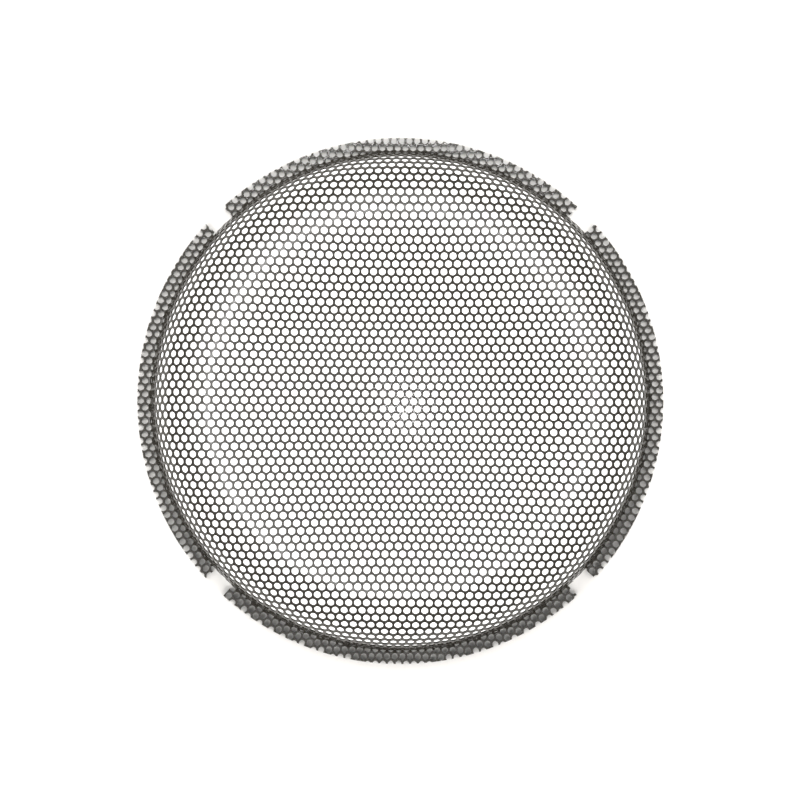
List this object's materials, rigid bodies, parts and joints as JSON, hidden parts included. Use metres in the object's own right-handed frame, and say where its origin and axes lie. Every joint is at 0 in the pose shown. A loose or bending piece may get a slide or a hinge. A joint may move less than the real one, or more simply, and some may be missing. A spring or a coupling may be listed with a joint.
{
  "type": "tweeter grille",
  "caption": "Domed round grille insert for a tweeter, pressed from fine hexagon-hole sheet, with a flat flange parted by gaps.",
  "frame": {"origin": "centre of the flange's back face, on the axis of the dome", "axes": "+Z along the dome's axis, out of its front; the four gaps in the flange lie at 45 degrees between X and Y"},
  "size_m": [0.0544, 0.0544, 0.0096],
  "materials": {
    "grille_metal": "satin dark coating on pressed steel"
  },
  "bodies": {
    "root": {"grille": "grille_metal"}
  },
  "joints": []
}
